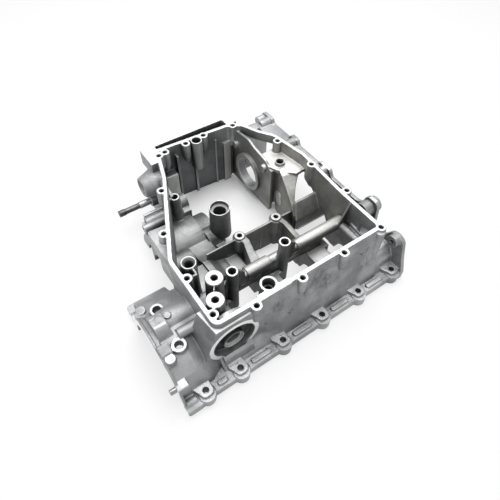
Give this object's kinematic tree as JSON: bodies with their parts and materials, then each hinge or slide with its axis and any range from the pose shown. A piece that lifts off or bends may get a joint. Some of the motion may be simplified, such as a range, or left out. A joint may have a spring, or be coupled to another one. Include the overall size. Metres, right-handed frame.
{
  "type": "engine crankcase half",
  "caption": "Bare cast aluminium lower crankcase half of a multi-cylinder engine, upside down, with open oil pan face, bearing webs, oil gallery and filter seat.",
  "frame": {"origin": "axis of the middle front flange bolt hole, on the split face", "axes": "+X along the crank axis from the alternator end to the clutch end, +Y from the front to the gearbox, +Z from the split face to the oil pan face"},
  "size_m": [0.414, 0.389, 0.118],
  "materials": {
    "cast_aluminium": "satin cast skin, machined faces brighter",
    "dark_steel": "satin, dark",
    "bright_steel": "ground"
  },
  "bodies": {
    "root": {"crankcase_lower": "cast_aluminium", "shift_shaft": "dark_steel", "dowel_pin": "bright_steel"}
  },
  "joints": []
}
